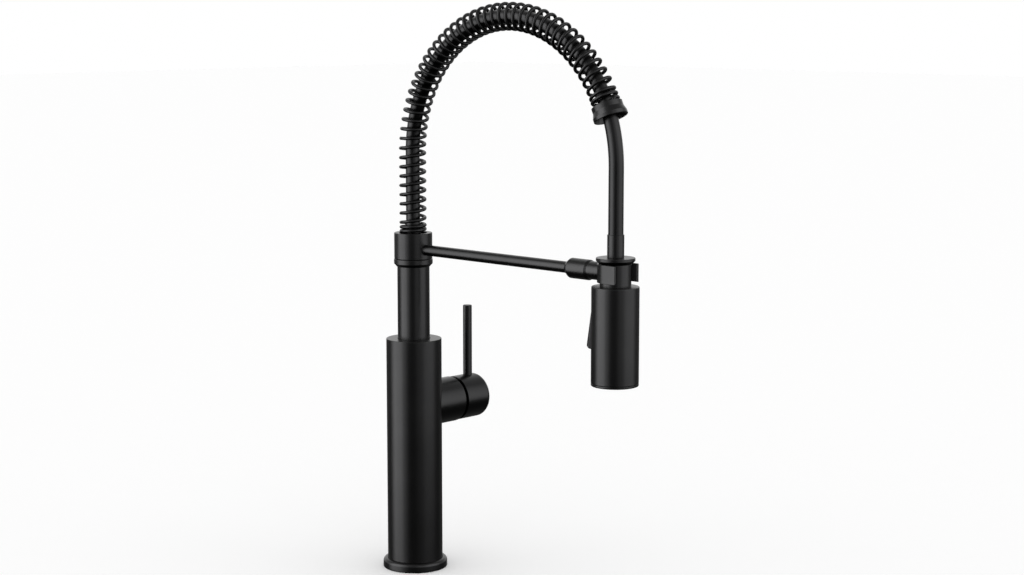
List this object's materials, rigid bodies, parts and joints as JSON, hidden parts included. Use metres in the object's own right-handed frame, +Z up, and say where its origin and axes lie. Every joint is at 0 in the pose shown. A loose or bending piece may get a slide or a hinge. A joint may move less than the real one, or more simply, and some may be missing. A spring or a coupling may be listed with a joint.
{
  "type": "pre-rinse kitchen faucet",
  "caption": "Deck kitchen faucet with a hose arch in a coil spring, a docking arm, a spray head with a rocker, and a single-lever side mixer.",
  "frame": {"origin": "centre of the base's underside, on the deck plane and on the shank's axis", "axes": "+Z up, +X towards the spray head, +Y towards the mixer's lever"},
  "size_m": [0.2903, 0.1089, 0.5684],
  "materials": {
    "satin_black": "satin black coating over metal",
    "spring_black": "satin black coated spring wire",
    "hose_black": "smooth black hose cover, slightly glossy",
    "seal_rubber": "matt rubber",
    "steel": "plain stainless steel",
    "brass": "machined brass",
    "white_nylon": "natural nylon",
    "black_plastic": "black moulded plastic",
    "ceramic": "polished alumina"
  },
  "bodies": {
    "column": {"base_ring": "satin_black", "base_gasket": "seal_rubber", "mounting_shank": "brass", "rubber_washer": "seal_rubber", "steel_washer": "steel", "mounting_nut": "brass", "jack_screws": "steel", "body_shell": "satin_black", "valve_body": "brass", "lower_bush": "white_nylon", "upper_bush": "white_nylon", "gland_ring": "brass", "hub_sleeve": "satin_black", "hub_lip": "satin_black", "bonnet_nut": "brass", "cartridge_housing": "white_nylon", "cartridge_seal": "seal_rubber", "fixed_disc": "ceramic"},
    "spout": {"retaining_ring": "steel", "riser_seals": "seal_rubber", "riser_tube": "satin_black", "flange_ring": "satin_black", "collar": "satin_black", "collar_screw": "steel", "arm_rod": "satin_black", "arm_nut": "satin_black", "arm_screw": "steel", "dock_clip": "satin_black", "clip_liner": "black_plastic", "hose_nipple": "brass", "spring_seat": "black_plastic", "hose_crimp": "satin_black", "spring": "spring_black", "spring_end_cap": "satin_black", "hose_guide_bush": "black_plastic", "hose_arch": "hose_black"},
    "mixer": {"cartridge_carrier": "white_nylon", "stem_pin": "steel"},
    "handle": {"cartridge_stem": "steel", "handle_cap": "satin_black", "lever_rod": "satin_black", "handle_screw": "steel"},
    "disc": {"moving_disc": "ceramic"},
    "hose_end": {"hose_drop": "hose_black", "hose_sleeve": "satin_black", "dock_flange": "satin_black", "swivel_stem": "brass", "swivel_seal": "seal_rubber", "swivel_circlip": "steel"},
    "head": {"head_neck": "satin_black", "shoulder_ring": "satin_black", "head_shell": "satin_black", "trim_ring": "satin_black", "head_core": "black_plastic", "rocker_pin": "steel", "spray_plate": "black_plastic", "spray_nozzles": "seal_rubber", "aerator": "black_plastic"},
    "rocker_body": {"rocker": "satin_black"},
    "spool": {"diverter_spool": "brass"}
  },
  "joints": [
    {"name": "spout_swivel", "type": "hinge", "parent": "column", "child": "spout", "pos_m": [0, 0, 0.2114], "axis": [0, 0, 1], "continuous": true},
    {"name": "handle_temperature", "type": "hinge", "parent": "column", "child": "mixer", "pos_m": [0, 0.05161, 0.1491], "axis": [0, 1, 0], "range_deg": [-45, 45]},
    {"name": "handle_flow", "type": "hinge", "parent": "mixer", "child": "handle", "pos_m": [0, 0.05161, 0.1491], "axis": [-1, 0, 0], "range_deg": [0, 20]},
    {"name": "disc_slide", "type": "slide", "parent": "mixer", "child": "disc", "axis": [0, 0, 1], "range_m": [0, 0.00739]},
    {"name": "head_undock", "type": "slide", "parent": "spout", "child": "hose_end", "axis": [1, 0, 0], "range_m": [0, 0.03], "deforming": ["hose_drop"]},
    {"name": "head_swivel", "type": "hinge", "parent": "hose_end", "child": "head", "pos_m": [0.2413, 0, 0.2951], "axis": [0, 0, 1], "continuous": true},
    {"name": "rocker_tilt", "type": "hinge", "parent": "head", "child": "rocker_body", "pos_m": [0.22865, -0.00524, 0.2453], "axis": [0.3827, -0.9239, 0], "range_deg": [0, 14]},
    {"name": "spool_slide", "type": "slide", "parent": "head", "child": "spool", "axis": [0, 0, 1], "range_m": [0, 0.0025]}
  ],
  "couplings": [
    {"joint": "disc_slide", "follows": "handle_flow", "m_per_rad": 0.021173},
    {"joint": "spool_slide", "follows": "rocker_tilt", "m_per_rad": 0.010247}
  ]
}
